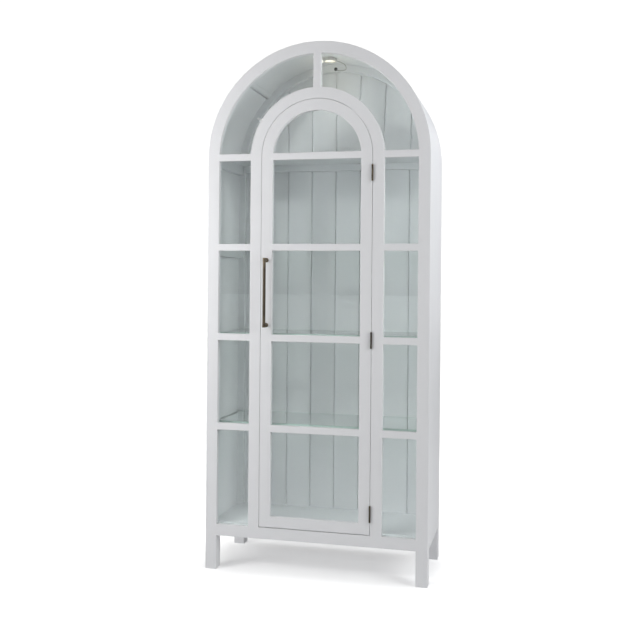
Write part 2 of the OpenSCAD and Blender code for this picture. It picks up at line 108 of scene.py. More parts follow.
class Look:
    """A node material with a Principled shader and short ways to add nodes."""

    def __init__(self, name):
        self.mat = bpy.data.materials.new(name)
        self.mat.use_nodes = True
        self.tree = self.mat.node_tree
        self.shader = self.tree.nodes["Principled BSDF"]
        self.out = self.tree.nodes["Material Output"]
        self.place = self.node("ShaderNodeTexCoord").outputs["Object"]

    def node(self, kind, **inputs):
        n = self.tree.nodes.new(kind)
        for key, value in inputs.items():
            self.feed(n.inputs[key.replace("_", " ")], value)
        return n

    def feed(self, socket, value):
        if isinstance(value, bpy.types.NodeSocket):
            self.tree.links.new(value, socket)
        else:
            socket.default_value = value

    def set(self, **inputs):
        for key, value in inputs.items():
            self.feed(self.shader.inputs[key.replace("_", " ")], value)

    def stretched(self, scale):
        """Object coordinates scaled per axis, for streaks along one axis."""
        m = self.node("ShaderNodeMapping", Vector=self.place)
        m.inputs["Scale"].default_value = scale
        return m.outputs["Vector"]

    def noise(self, scale, detail=2.0, roughness=0.5, where=None):
        n = self.node("ShaderNodeTexNoise", Vector=where or self.place, Scale=scale,
                      Detail=detail, Roughness=roughness)
        return n.outputs["Fac"]

    def ramp(self, value, low, high, out_low=0.0, out_high=1.0):
        n = self.tree.nodes.new("ShaderNodeMapRange")
        n.inputs["From Min"].default_value = low
        n.inputs["From Max"].default_value = high
        n.inputs["To Min"].default_value = out_low
        n.inputs["To Max"].default_value = out_high
        self.feed(n.inputs["Value"], value)
        return n.outputs["Result"]

    def blend(self, share, a, b):
        n = self.tree.nodes.new("ShaderNodeMix")
        n.data_type = "RGBA"
        self.feed(n.inputs[0], share)
        for socket, colour in ((n.inputs[6], a), (n.inputs[7], b)):
            self.feed(socket, colour if isinstance(colour, bpy.types.NodeSocket) else (*colour, 1.0))
        return n.outputs[2]

    def maths(self, operation, a, b):
        n = self.tree.nodes.new("ShaderNodeMath")
        n.operation = operation
        n.use_clamp = True
        self.feed(n.inputs[0], a)
        self.feed(n.inputs[1], b)
        return n.outputs[0]

    def edge(self):
        """How far a point lies on an eased edge, from the mesh itself."""
        n = self.tree.nodes.new("ShaderNodeAttribute")
        n.attribute_name = "edge"
        return n.outputs["Fac"]

    def bump(self, layers):
        """Stacks (height, strength, distance) layers into one normal."""
        normal = None
        for height, strength, distance in layers:
            n = self.node("ShaderNodeBump", Height=height, Strength=strength, Distance=distance)
            if normal is not None:
                self.feed(n.inputs["Normal"], normal)
            normal = n.outputs["Normal"]
        self.feed(self.shader.inputs["Normal"], normal)


def painted(name, along):
    """Satin white paint brushed along one axis (0, 1 or 2): faint streaks and a little unevenness."""
    look = Look(name)
    streak = [1.0, 1.0, 1.0]
    streak[along] = 0.03
    brushed = look.noise(520.0, 3.0, 0.6, look.stretched(streak))
    cloudy = look.noise(3.0, 4.0, 0.55)
    peel = look.noise(260.0, 2.0)
    film = look.blend(look.ramp(cloudy, 0.3, 0.7), (0.850, 0.854, 0.872), (0.872, 0.876, 0.894))
    film = look.blend(look.ramp(brushed, 0.35, 0.75, 0.0, 0.22), film, (0.832, 0.836, 0.855))
    worn = look.maths("MULTIPLY", look.edge(), look.ramp(look.noise(38.0, 4.0, 0.65), 0.42, 0.72, 0.05, 0.6))
    look.set(Base_Color=look.blend(worn, film, (0.76, 0.755, 0.75)))
    look.set(Roughness=look.ramp(look.maths("ADD", look.maths("MULTIPLY", brushed, 0.5),
                                            look.maths("MULTIPLY", cloudy, 0.5)), 0.3, 0.7, 0.34, 0.46))
    look.bump([(brushed, 0.10, 0.00015), (peel, 0.06, 0.0002)])
    return look.mat


def glass(name, tint, roughness, wave):
    """Clear glass that refracts for the eye and lets the lamps' light pass."""
    look = Look(name)
    look.set(Base_Color=(*tint, 1.0), IOR=1.5)
    look.set(Transmission_Weight=1.0)
    look.set(Roughness=look.ramp(look.noise(9.0, 3.0), 0.35, 0.75, 0.0, roughness))
    look.bump([(look.noise(wave, 1.0), 0.02, 0.002)])
    path = look.node("ShaderNodeLightPath")
    clear = look.node("ShaderNodeBsdfTransparent", Color=(*(math.sqrt(c) for c in tint), 1.0))
    mix = look.tree.nodes.new("ShaderNodeMixShader")
    look.feed(mix.inputs[0], path.outputs["Is Shadow Ray"])
    look.feed(mix.inputs[1], look.shader.outputs[0])
    look.feed(mix.inputs[2], clear.outputs[0])
    look.feed(look.out.inputs["Surface"], mix.outputs[0])
    return look


def window_glass():
    return glass("window_glass_look", (0.960, 1.0, 0.990), 0.02, 4.0).mat


def shelf_glass():
    look = glass("shelf_glass_look", (0.955, 0.985, 0.97), 0.015, 6.0)
    body = look.node("ShaderNodeVolumeAbsorption", Color=(0.55, 0.86, 0.74, 1.0), Density=1.6)
    look.feed(look.out.inputs["Volume"], body.outputs[0])
    ground = look.node("ShaderNodeBsdfDiffuse", Color=(0.66, 0.80, 0.75, 1.0))
    parts = look.tree.nodes.new("ShaderNodeSeparateXYZ")
    look.feed(parts.inputs[0], look.node("ShaderNodeNewGeometry").outputs["True Normal"])
    edge = look.maths("LESS_THAN", look.maths("ABSOLUTE", parts.outputs["Z"], 0.0), 0.5)
    mix = look.tree.nodes.new("ShaderNodeMixShader")
    look.feed(mix.inputs[0], look.maths("MULTIPLY", edge, 0.6))
    look.feed(mix.inputs[1], look.out.inputs["Surface"].links[0].from_socket)
    look.feed(mix.inputs[2], ground.outputs[0])
    look.feed(look.out.inputs["Surface"], mix.outputs[0])
    return look.mat


def bronze():
    """Dark antique bronze, rubbed lighter on the proud edges."""
    look = Look("aged_bronze_look")
    patina = look.noise(60.0, 5.0, 0.65)
    brushed = look.noise(900.0, 2.0, 0.6, look.stretched([1.0, 1.0, 0.05]))
    dark = look.blend(look.ramp(patina, 0.35, 0.65), (0.045, 0.036, 0.028), (0.085, 0.068, 0.048))
    rubbed = look.maths("MULTIPLY", look.edge(), look.ramp(patina, 0.3, 0.6, 0.25, 0.85))
    look.set(Base_Color=look.blend(rubbed, dark, (0.26, 0.21, 0.14)), Metallic=0.85)
    look.set(Roughness=look.ramp(brushed, 0.3, 0.7, 0.26, 0.38))
    look.bump([(brushed, 0.12, 0.0001), (patina, 0.05, 0.0002)])
    return look.mat


def zinc():
    look = Look("zinc_look")
    flake = look.node("ShaderNodeTexVoronoi", Vector=look.place, Scale=420.0).outputs["Distance"]
    look.set(Base_Color=look.blend(look.ramp(flake, 0.1, 0.7), (0.56, 0.57, 0.59), (0.70, 0.71, 0.72)),
             Metallic=1.0)
    look.set(Roughness=look.ramp(look.noise(150.0, 3.0), 0.3, 0.7, 0.30, 0.46))
    look.bump([(flake, 0.08, 0.0001)])
    return look.mat


def nickel():
    """Satin nickel, finely turned, a little duller where it has been handled."""
    look = Look("satin_nickel_look")
    turned_marks = look.noise(1400.0, 2.0, 0.6, look.stretched([1.0, 1.0, 0.08]))
    dull = look.noise(70.0, 4.0)
    look.set(Base_Color=look.blend(look.ramp(dull, 0.3, 0.7), (0.66, 0.65, 0.62), (0.76, 0.75, 0.72)),
             Metallic=1.0)
    look.set(Roughness=look.ramp(turned_marks, 0.3, 0.7, 0.38, 0.50))
    look.bump([(turned_marks, 0.06, 0.0001)])
    return look.mat


def moulded(name, low, high, roughness, grain=700.0, strength=0.08):
    """Moulded plastic, PVC or rubber: two close colours, a fine grain and uneven gloss."""
    look = Look(name)
    look.set(Base_Color=look.blend(look.ramp(look.noise(45.0, 4.0), 0.3, 0.7), low, high))
    look.set(Roughness=look.ramp(look.noise(90.0, 3.0), 0.3, 0.7, roughness - 0.06, roughness + 0.06))
    look.bump([(look.noise(grain, 2.0), strength, 0.0002)])
    return look.mat


def lit_lens():
    look = Look("warm_lens_look")
    frost = look.noise(500.0, 2.0)
    tint = look.blend(look.ramp(look.noise(120.0, 3.0), 0.3, 0.7), (1.0, 0.91, 0.80), (1.0, 0.95, 0.88))
    look.set(Base_Color=tint, Emission_Color=tint, Emission_Strength=0.45)
    look.set(Roughness=look.ramp(frost, 0.3, 0.7, 0.35, 0.55))
    look.bump([(frost, 0.10, 0.0002)])
    return look.mat


paint_x, paint_y, paint_z = (painted(f"white_paint_{n}_look", i) for i, n in enumerate("xyz"))
PAINT, BRONZE, ZINC, NICKEL = "white_paint", bronze(), zinc(), nickel()
PLASTIC = moulded("white_plastic_look", (0.80, 0.80, 0.79), (0.86, 0.86, 0.85), 0.34)
# The lead's grey is darker than pale PVC: partly its own colour, partly painted shade standing in for the
# shadow it casts beside it.
LEAD_AND_SHADOW_LOOK = moulded("lead_grey_and_painted_shadow_look", (0.30, 0.30, 0.28), (0.40, 0.40, 0.37), 0.45, 900.0)
RUBBER = moulded("black_rubber_look", (0.012, 0.012, 0.012), (0.03, 0.03, 0.03), 0.62)
LENS_LOOK, WINDOW, SHELF = lit_lens(), window_glass(), shelf_glass()

# ---------- meshes ----------


def piece(name, verts, faces, weights, material, slot, body, nodes, sharp=40.0):
    """Cleans the mesh, shades it, and makes it a piece that rides on body and stands for nodes."""
    mesh = bpy.data.meshes.new(name)
    mesh.from_pydata(verts, [], faces)
    mesh.attributes.new("edge", "FLOAT", "POINT").data.foreach_set("value", weights)
    work = bmesh.new()
    work.from_mesh(mesh)
    bmesh.ops.remove_doubles(work, verts=work.verts, dist=MERGE)
    bmesh.ops.dissolve_degenerate(work, edges=work.edges, dist=MERGE / 5)
    bmesh.ops.recalc_face_normals(work, faces=work.faces)
    for f in work.faces:
        f.smooth = True
    work.to_mesh(mesh)
    work.free()
    mesh.materials.append(material)
    ob = bpy.data.objects.new(name, mesh)
    bpy.context.scene.collection.objects.link(ob)
    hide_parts(*nodes)
    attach(ob, body)
    finish_shading(mesh, sharp)
    return ob


def finish_shading(mesh, sharp):
    """Gives each face's corners the mean normal, by area, of the faces there within the sharp angle of it."""
    near, limit = [[] for _ in mesh.vertices], math.cos(math.radians(sharp))
    for face in mesh.polygons:
        for v in face.vertices:
            near[v].append((face.normal.copy(), face.area))
    normals = [None] * len(mesh.loops)
    for face in mesh.polygons:
        for corner in face.loop_indices:
            total = Vector()
            for normal, area in near[mesh.loops[corner].vertex_index]:
                if normal.dot(face.normal) > limit:
                    total += normal * area
            normals[corner] = (total if total.length > 0 else face.normal).normalized()
    mesh.normals_split_custom_set(normals)


def outline(corners):
    """Points (u, v, edge share) round the corners (u, v, radius), all right angles.

    A radius of None is a plain corner.
    """
    points = []
    for i, (u, v, r) in enumerate(corners):
        if r is None:
            points.append((u, v, 0.0))
            continue
        before, after = corners[i - 1], corners[(i + 1) % len(corners)]
        a = Vector((before[0] - u, before[1] - v)).normalized()
        b = Vector((after[0] - u, after[1] - v)).normalized()
        for k in range(ARC + 1):
            t = k / ARC * math.pi / 2
            du = r * (a.x + b.x - b.x * math.cos(t) - a.x * math.sin(t))
            dv = r * (a.y + b.y - b.y * math.cos(t) - a.y * math.sin(t))
            points.append((u + du, v + dv, math.sin(2 * t) * r / EASE))
    return points


def loft(rings):
    """Closed mesh through rings of (point, edge share), all with as many points."""
    count = len(rings[0])
    verts = [p for ring in rings for p, _ in ring]
    weights = [max(0.0, min(1.0, w)) for ring in rings for _, w in ring]
    faces = [tuple(range(count)), tuple(len(verts) - count + k for k in range(count))]
    for i in range(len(rings) - 1):
        for k in range(count):
            n = (k + 1) % count
            faces.append((i * count + k, i * count + n, (i + 1) * count + n, (i + 1) * count + k))
    return verts, faces, weights


def join(meshes):
    """Several meshes as one."""
    verts, faces, weights = [], [], []
    for v, f, w in meshes:
        faces += [tuple(i + len(verts) for i in face) for face in f]
        verts += v
        weights += w
    return verts, faces, weights


def mirrored(mesh, side):
    return [(side * x, y, z) for x, y, z in mesh[0]], mesh[1], mesh[2]


def eased(s, stops, radius=EASE):
    """Radius of an eased edge at s, which runs out where another member meets it."""
    return min([radius] + [max(a - s, s - b, 0.0) for a, b in stops])


def marks(low, high, stops=(), steps=(), count=1):
    """Places along a member where its section is set out."""
    found = {low + (high - low) * k / count for k in range(count + 1)}
    for a, b in stops:
        found |= {a - EASE, a, b, b + EASE}
    for s in steps:
        found |= {s - STEP, s + STEP}
    return sorted(s for s in found if low <= s <= high)


def sweep(places, section, at):
    """Mesh of a section(s) carried to at(s, u, v) for each s in places."""
    return loft([[(at(s, u, v), w) for u, v, w in outline(section(s))] for s in places])


def upright(s, u, v):
    return (u, v, s)


def across(s, u, v):
    return (s, v, u)


def around(radius):
    """Placing along an arch, with s measured along that radius from the right springing."""
    def at(s, u, v):
        turn = s / radius
        return (u * math.cos(turn), v, SPRING + u * math.sin(turn))
    return at


def bar_stops(extra=()):
    return [(z - BAR_HALF, z + BAR_HALF) for z in LEVELS] + list(extra)


def wood(node, mesh, material, body="cabinet"):
    return piece(node + "_wood", *mesh, material, PAINT, body, [node])


# ---------- case ----------

def foot(s):
    """How far the foot of a post is drawn in at height s."""
    return max(0.0, FOOT - s)


def front_post():
    x0, x1, y0, y1 = post_lo.x, post_hi.x, FRONT, post_hi.y
    rabbet_z = rail_hi.z - RABBET
    inner = bar_stops([(rail_lo.z, rail_hi.z)])
    skin = [(rail_lo.z, SPRING + 1)]
    inside = [(rail_lo.z, rail_hi.z + 0.002)]

    def section(s):
        i, n = foot(s), RABBET if s > rabbet_z else 0.0
        return [(x0 + i, y0 + i, eased(s, inner)), (x1 - i, y0 + i, EASE),
                (x1 - i, y1 - i, eased(s, skin)), (x0 + n + i, y1 - i, eased(s, inside)),
                (x0 + n + i, GLASS_Y, None), (x0 + i, GLASS_Y, None)]

    levels = set(marks(0.0, SPRING, inner + skin + inside, [rabbet_z]) + [FOOT])
    return sweep(sorted(levels), section, upright)


def rear_post():
    x0, x1, y0, y1 = rear_lo.x, rear_hi.x, rear_lo.y, rear_hi.y
    skin = [(rail_lo.z, SPRING + 1)]
    rail = [(rail_lo.z, rail_hi.z)]

    def section(s):
        i, n = foot(s), PANEL_LAP if s > back_lo.z else 0.0
        return [(x0 + i, y1 - i, eased(s, rail)), (x1 - i, y1 - i, EASE),
                (x1 - i, y0 + i, eased(s, skin)), (x0 + n + i, y0 + i, eased(s, skin)),
                (x0 + n + i, y0 + PANEL_T, None), (x0 + i, y0 + PANEL_T, None)]

    return sweep(sorted(set(marks(0.0, SPRING, skin + rail, [back_lo.z]) + [FOOT])), section, upright)


def arch(r0, r1, y0, y1, side, stops, notch=RABBET, depth=GLASS_Y, flat=(), plain=0.0, back=EASE / 2,
         far=EASE, count=96):
    """Half ring. side says which side has the rabbet.

    stops are where the edge on that side runs out, in angles.
    """
    ref = r0 if side == "low" else r1
    stops = [(a * ref, b * ref) for a, b in stops]
    middle = math.pi / 2 * ref
    gaps = [middle - plain, middle + plain] if plain else []

    def section(s):
        n = 0.0 if plain and abs(s - middle) < plain else notch
        near = eased(s, stops)
        if side == "low":
            return [(r0, y0, near), (r1, y0, far), (r1, y1, None if "outer" in flat else back),
                    (r0 + n, y1, back), (r0 + n, depth, None), (r0, depth, None)]
        return [(r0, y0, far), (r1, y0, near), (r1, depth, None), (r1 - n, depth, None),
                (r1 - n, y1, None), (r0, y1, back)]

    return sweep(marks(0.0, math.pi * ref, stops, gaps, count), section, around(ref))


def half_angle(height, radius):
    return math.asin(height / radius)


def arch_stops(radius, mullion=True):
    """Where the springing bars, and the mullion at the top, meet an arch's edge."""
    bar = half_angle(BAR_HALF, radius)
    stops = [(-1.0, bar), (math.pi - bar, math.pi + 1.0)]
    if mullion:
        top = half_angle(mullion_hi.x, radius)
        stops.append((math.pi / 2 - top, math.pi / 2 + top))
    return stops


def drill(ob, at, axis, radius, depth):
    """Round hole through ob about the point at, along axis."""
    verts, faces, _ = lathe([(0.0, -depth), (radius, -depth), (radius, depth), (0.0, depth)], at, axis, 40)
    mesh = bpy.data.meshes.new("cutter")
    mesh.from_pydata(verts, [], faces)
    work = bmesh.new()
    work.from_mesh(mesh)
    bmesh.ops.remove_doubles(work, verts=work.verts, dist=MERGE)
    bmesh.ops.recalc_face_normals(work, faces=work.faces)
    work.to_mesh(mesh)
    work.free()
    cutter = bpy.data.objects.new("cutter", mesh)
    bpy.context.scene.collection.objects.link(cutter)
    cut = ob.modifiers.new("cut", "BOOLEAN")
    cut.operation, cut.solver, cut.object = "DIFFERENCE", "EXACT", cutter
    graph = bpy.context.evaluated_depsgraph_get()
    drilled = bpy.data.meshes.new_from_object(ob.evaluated_get(graph))
    ob.modifiers.remove(cut)
    ob.data = drilled
    bpy.data.objects.remove(cutter)
    finish_shading(drilled, 40.0)


def lathe(profile, at, axis, steps=48, edges=None, loop=False):
    """Profile of (radius, height) turned about the axis through at. edges gives each point's edge share."""
    axis = Vector(axis).normalized()
    side = axis.orthogonal().normalized()
    other = axis.cross(side)
    verts, weights, count = [], [], len(profile)
    for k in range(steps):
        turn = 2 * math.pi * k / steps
        out = side * math.cos(turn) + other * math.sin(turn)
        for i, (r, h) in enumerate(profile):
            verts.append(tuple(Vector(at) + out * r + axis * h))
            weights.append(edges[i] if edges else 0.0)
    faces = []
    for k in range(steps):
        n = (k + 1) % steps
        for i in range(count if loop else count - 1):
            j = (i + 1) % count
            faces.append((k * count + i, k * count + j, n * count + j, n * count + i))
    return verts, faces, weights


make_camera()

# ---------- the light's lead ----------

LEAD = [
    (20, 54, 2114), (24, 58, 2114), (29, 63, 2113.5), (34, 68, 2112.5), (39, 73, 2111),
    (44, 79, 2109), (48, 85, 2106.5), (51, 91, 2104), (53, 97, 2101.5), (54, 103, 2099),
    (54, 109, 2097), (52, 115, 2095), (49, 121, 2093.5), (45, 126, 2092.5), (40, 130, 2092),
    (34, 133, 2092), (28, 134, 2092.5), (22, 134, 2093), (16, 134, 2094), (11, 135, 2095.5),
    (6, 137, 2097.5), (3, 140, 2099.5), (1, 143, 2101.5), (0, 147, 2103), (0, 152, 2103), (0, 157, 2103),
]
LEAD_D = 0.0025


def smooth_line(points, parts=5):
    """Catmull-Rom curve through the points."""
    ends = [points[0] * 2 - points[1]] + points + [points[-1] * 2 - points[-2]]
    line = []
    for a, b, c, d in zip(ends, ends[1:], ends[2:], ends[3:]):
        for k in range(parts):
            t = k / parts
            line.append(0.5 * (2 * b + (c - a) * t + (2 * a - 5 * b + 4 * c - d) * t ** 2
                               + (3 * b - a - 3 * c + d) * t ** 3))
    return line + [points[-1]]


def make_lead():
    line = smooth_line([Vector(p) / 1000 for p in LEAD])
    curve = bpy.data.curves.new("light_lead_line", "CURVE")
    curve.dimensions = "3D"
    curve.bevel_depth, curve.bevel_resolution, curve.use_fill_caps = LEAD_D / 2, 4, True
    spline = curve.splines.new("POLY")
    spline.points.add(len(line) - 1)
    for point, p in zip(spline.points, line):
        point.co = (*p, 1.0)
    curve.materials.append(LEAD_AND_SHADOW_LOOK)
    ob = bpy.data.objects.new("light_lead_pvc", curve)
    bpy.context.scene.collection.objects.link(ob)
    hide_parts("light_lead")
    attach(ob, "cabinet")
    length = sum((b - a).length for a, b in zip(line, line[1:]))
    print("lead length", round(length, 4))


make_lead()

# ---------- the wooden members ----------

wood("front_right_post", front_post(), paint_z)
wood("front_left_post", mirrored(front_post(), -1), paint_z)
wood("rear_right_post", rear_post(), paint_z)
wood("rear_left_post", mirrored(rear_post(), -1), paint_z)
DOORWAY, DOOR_EDGE = surround_lo.x - GAP_LIP, stile_hi.x + GAP_LIP
wood("front_arch", arch(post_lo.x, post_hi.x, FRONT, post_hi.y, "low", arch_stops(post_lo.x),
                        flat=("outer",), plain=mullion_hi.x - RABBET), paint_x)
rear_arch = wood("rear_arch", arch(rear_lo.x, rear_hi.x, rear_hi.y, rear_lo.y, "low", [], notch=PANEL_LAP,
                                   depth=rear_lo.y + PANEL_T, flat=("outer",), back=0.0), paint_x)
wood("surround_arch", arch(DOORWAY, surround_hi.x, FRONT, FRAME_BACK, "high", arch_stops(surround_hi.x),
                           plain=mullion_hi.x - RABBET, far=GAP_EASE), paint_x)
wood("door_arch", arch(stile_lo.x, DOOR_EDGE, FRONT, FRAME_BACK, "low",
                       arch_stops(stile_lo.x, mullion=False), far=GAP_EASE), paint_x, "door")


def stile(x0, x1, z0, side, rabbet_z, stops, foot_size=0.0):
    def section(s):
        i = max(0.0, foot_size - (s - z0))
        n = RABBET if s > rabbet_z else 0.0
        near = eased(s, stops)
        if side == "high":
            return [(x0, FRONT + i, GAP_EASE), (x1, FRONT + i, near), (x1, GLASS_Y, None),
                    (x1 - n, GLASS_Y, None), (x1 - n, FRAME_BACK - i, None), (x0, FRAME_BACK - i, EASE / 2)]
        return [(x0, FRONT + i, near), (x1, FRONT + i, GAP_EASE), (x1, FRAME_BACK - i, EASE / 2),
                (x0 + n, FRAME_BACK - i, None), (x0 + n, GLASS_Y, None), (x0, GLASS_Y, None)]

    extra = [z0 + foot_size] if foot_size else []
    return sweep(sorted(set(marks(z0, SPRING, stops, [rabbet_z]) + extra)), section, upright)


surround = stile(DOORWAY, surround_hi.x, surround_lo.z, "high", surround_lo.z - 1, bar_stops())
wood("surround_right", surround, paint_z)
wood("surround_left", mirrored(surround, -1), paint_z)
door_stile = stile(stile_lo.x, DOOR_EDGE, stile_lo.z, "low", door_rail_hi.z - RABBET,
                   bar_stops([(stile_lo.z - 1, door_rail_hi.z)]), GAP_EASE)
wood("door_right_stile", door_stile, paint_z, "door")
left_stile = wood("door_left_stile", mirrored(door_stile, -1), paint_z, "door")


def mullion():
    r0, r1, w, n = surround_hi.x, post_lo.x, mullion_hi.x, mullion_hi.x - RABBET

    def at(s, u, v):
        low, high = math.sqrt(r0 * r0 - u * u), math.sqrt(r1 * r1 - u * u)
        return (u, v, SPRING + low + (high - low) * s)

    def section(s):
        return [(-w, FRONT, EASE), (w, FRONT, EASE), (w, GLASS_Y, None), (n, GLASS_Y, None),
                (n, FRAME_BACK, None), (-n, FRAME_BACK, None), (-n, GLASS_Y, None), (-w, GLASS_Y, None)]

    return sweep([0.0, 1.0], section, at)


def bar_between(level, inner, outer):
    """Glazing bar whose ends follow the arches above the springing."""
    def end(radius, z):
        up = max(0.0, z - SPRING)
        return math.copysign(math.sqrt(radius * radius - up * up), radius)

    def at(s, u, v):
        low, high = end(inner, u), end(outer, u)
        return (low + (high - low) * s, v, u)

    def section(s):
        low, high = level - BAR_HALF, level + BAR_HALF
        return [(low, FRONT, EASE), (high, FRONT, EASE), (high, GLASS_Y, None),
                (SPRING if low < SPRING < high else level, GLASS_Y, None), (low, GLASS_Y, None),
                (low, (FRONT + GLASS_Y) / 2, None)]

    return sweep([0.0, 1.0], section, at)


def front_rail():
    lights = (surround_hi.x - RABBET, post_lo.x)
    stops = [(-surround_hi.x, -surround_lo.x), (surround_lo.x, surround_hi.x)]

    def section(s):
        n = RABBET if lights[0] < abs(s) < lights[1] else 0.0
        return [(rail_lo.z, FRONT, EASE), (rail_hi.z, FRONT, eased(s, stops)), (rail_hi.z, GLASS_Y, None),
                (rail_hi.z - n, GLASS_Y, None), (rail_hi.z - n, FRAME_BACK, None),
                (rail_lo.z, FRAME_BACK, EASE)]

    return sweep(marks(-post_lo.x, post_lo.x, stops, [-lights[0], lights[0]]), section, across)


def plain_rail(lo, hi, radii, at, ends):
    u, v = (lo.z, hi.z), (lo.y, hi.y)
    a, b, c, d = radii
    section = [(u[0], v[0], a), (u[1], v[0], b), (u[1], v[1], c), (u[0], v[1], d)]
    return sweep(list(ends), lambda s: section, at)


wood("top_mullion", mullion(), paint_z)
lights = join([bar_between(z, surround_hi.x, post_lo.x) for z in LEVELS])
wood("right_light_bars", lights, paint_x)
wood("left_light_bars", mirrored(lights, -1), paint_x)
wood("door_bars", join([bar_between(z, -stile_lo.x, stile_lo.x) for z in LEVELS]), paint_x, "door")
wood("front_bottom_rail", front_rail(), paint_x)
wood("rear_bottom_rail", plain_rail(rear_rail_lo, rear_rail_hi, (EASE, None, EASE, EASE), across,
                                    (rear_rail_lo.x, rear_rail_hi.x)), paint_x)


def door_rail():
    def section(s):
        return [(door_rail_lo.z, FRONT, GAP_EASE), (door_rail_hi.z, FRONT, EASE),
                (door_rail_hi.z, GLASS_Y, None), (door_rail_hi.z - RABBET, GLASS_Y, None),
                (door_rail_hi.z - RABBET, FRAME_BACK, None), (door_rail_lo.z, FRAME_BACK, GAP_EASE)]
    return sweep([-stile_lo.x, stile_lo.x], section, across)


wood("door_bottom_rail", door_rail(), paint_x, "door")


def side_rail():
    lo, hi = side_rail_lo, side_rail_hi
    return sweep([lo.y, hi.y], lambda s: [(lo.x, lo.z, EASE), (hi.x, lo.z, EASE), (hi.x, hi.z, None),
                                          (lo.x, hi.z, None)], lambda s, u, v: (u, s, v))


def side_skin():
    lo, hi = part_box("right_side_panel")
    return sweep([lo.z, hi.z], lambda s: [(lo.x, lo.y, None), (hi.x, lo.y, None), (hi.x, hi.y, None),
                                          (lo.x, hi.y, None)], upright)


def ceiling(a0, a1):
    """Part of the curved skin, with an open seam at the end that meets the centre part."""
    r1, y0, y1 = post_hi.x, post_hi.y, rear_lo.y
    low, high = a0 * r1, a1 * r1
    if a0 == 0.0:
        seam = (high - SEAM_W, high)
    elif a1 == math.pi:
        seam = (low, low + SEAM_W)
    else:
        seam = (low, low)

    def section(s):
        r0 = SKIN_IN + (SEAM_D if seam[0] < s < seam[1] else 0.0)
        return [(r0, y0, None), (r1, y0, None), (r1, y1, None), (r0, y1, None)]

    return sweep(marks(low, high, steps=seam, count=48), section, around(r1))


def rear_trim():
    inner, outer, y0, y1 = post_lo.x, SKIN_IN, trim_lo.y, trim_hi.y
    stops = [(trim_rail_lo.z, trim_rail_hi.z)]
    return sweep(marks(trim_lo.z, SPRING, stops),
                 lambda s: [(inner, y0, eased(s, stops, GAP_EASE)), (outer, y0, None), (outer, y1, None),
                            (inner, y1, None)], upright)


def trim_arch():
    r0, r1, y0, y1 = post_lo.x, SKIN_IN - 0.0001, trim_lo.y, trim_hi.y
    section = [(r0, y0, GAP_EASE), (r1, y0, None), (r1, y1, None), (r0, y1, None)]
    return sweep(marks(0.0, math.pi * r0, count=96), lambda s: section, around(r0))


def trim_rail():
    lo, hi = trim_rail_lo, trim_rail_hi
    return plain_rail(lo, hi, (GAP_EASE, None, None, GAP_EASE), across, (-post_lo.x, post_lo.x))


for name, side in (("right", 1), ("left", -1)):
    wood(name + "_bottom_rail", mirrored(side_rail(), side), paint_y)
    wood(name + "_side_panel", mirrored(side_skin(), side), paint_z)
wood("rear_trims", join([rear_trim(), mirrored(rear_trim(), -1)]), paint_z)
wood("rear_trim_rail", trim_rail(), paint_x)
wood("ceiling_right", ceiling(0.0, math.pi / 4), paint_y)
wood("ceiling_centre", ceiling(math.pi / 4, math.pi * 3 / 4), paint_y)
wood("ceiling_left", ceiling(math.pi * 3 / 4, math.pi), paint_y)
rear_trim_arch = wood("rear_trim_arch", trim_arch(), paint_x)

def keep(names, material, ease=0.0, sharp=40.0):
    """Gives CAD nodes their finish, and a small eased edge where they have one."""
    for name in names.split():
        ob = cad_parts[name]
        ob.data.materials.clear()
        ob.data.materials.append(material)
        weld = ob.modifiers.new("weld", "WELD")
        weld.merge_threshold = MERGE
        if ease:
            round_off = ob.modifiers.new("ease", "BEVEL")
            round_off.width, round_off.segments = ease, 2
            round_off.limit_method, round_off.angle_limit = "ANGLE", math.radians(sharp)
            round_off.harden_normals = False
        even = ob.modifiers.new("even", "WEIGHTED_NORMAL")
        even.keep_sharp = False
        even.weight = 80


# ---------- turned parts ----------


def turned(node, meshes, material, slot, body="cabinet"):
    return piece(node + "_turned", *join(meshes), material, slot, body, [node], 30.0)


def rim(corners, round_off, parts=4):
    """Profile and edge shares for a lathe, with each corner (radius, height, rounded?) eased."""
    points, shares = [], []
    for i, (r, h, eased_here) in enumerate(corners):
        if not eased_here:
            points.append((r, h))
            shares.append(0.0)
            continue
        here = Vector((r, h))
        a = Vector(corners[i - 1][:2]) - here
        b = Vector(corners[(i + 1) % len(corners)][:2]) - here
        reach = min(round_off, a.length / 2, b.length / 2)
        a.normalize()
        b.normalize()
        for k in range(parts + 1):
            t = k / parts
            p = here + reach * ((1 - t) ** 2 * a + t ** 2 * b)
            points.append(tuple(p))
            shares.append(math.sin(math.pi * t) * 0.6 + 0.4)
    return points, shares


bar_lo, bar_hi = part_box("pull_bar")
PULL_X, PULL_Y, PULL_Z = (bar_lo + bar_hi) / 2
PULL_HALF, COLLAR_R = (bar_hi.z - bar_lo.z) / 2, (bar_hi.x - bar_lo.x) / 2
PULL_BAR_R, COLLAR_H, POST_R, SCREW_R = 0.006, 0.017, 0.0045, 0.002
PULL_ENDS = [PULL_Z + end * (PULL_HALF - COLLAR_H / 2) for end in (-1, 1)]


def pull_bar():
    top, neck = PULL_HALF, PULL_HALF - COLLAR_H
    half = [(PULL_BAR_R, neck - 0.03, False), (PULL_BAR_R, neck, True), (COLLAR_R, neck, True),
            (COLLAR_R, top, True), (0.0, top, False)]
    profile, shares = rim(half, 0.0009)
    points = [(r, -h) for r, h in reversed(profile)] + profile
    return lathe(points, (PULL_X, PULL_Y, PULL_Z), (0, 0, 1), 48, shares[::-1] + shares)


